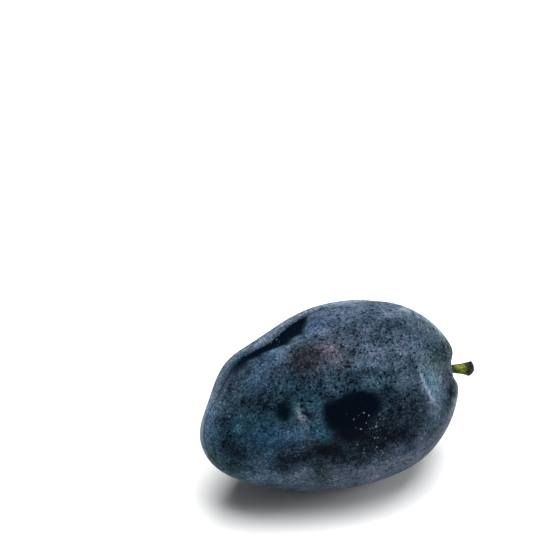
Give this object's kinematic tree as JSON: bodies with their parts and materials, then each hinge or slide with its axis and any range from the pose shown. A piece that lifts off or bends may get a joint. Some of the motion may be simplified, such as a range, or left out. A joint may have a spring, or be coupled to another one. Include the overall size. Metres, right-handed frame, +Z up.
{
  "type": "plum",
  "caption": "Oval blue prune plum with a bloom-dusted skin, a seam along one side and a short green stalk stub, lying on its side.",
  "frame": {"origin": "on the flat spot that the fruit rests on, straight under the middle of its long axis", "axes": "+X along the long axis towards the stalk, +Z up, +Y away from the cheek with the hollow; the seam is on top, leaning back towards +Y"},
  "size_m": [0.0605, 0.0353, 0.0365],
  "materials": {
    "skin": "dark blue-black plum skin under a pale blue-grey waxy bloom, rubbed through to glossy purple-black in places",
    "stalk": "fresh yellow-green bark, with a torn dark brown collar and end"
  },
  "bodies": {
    "root": {"fruit": "skin", "stalk": "stalk"}
  },
  "joints": []
}
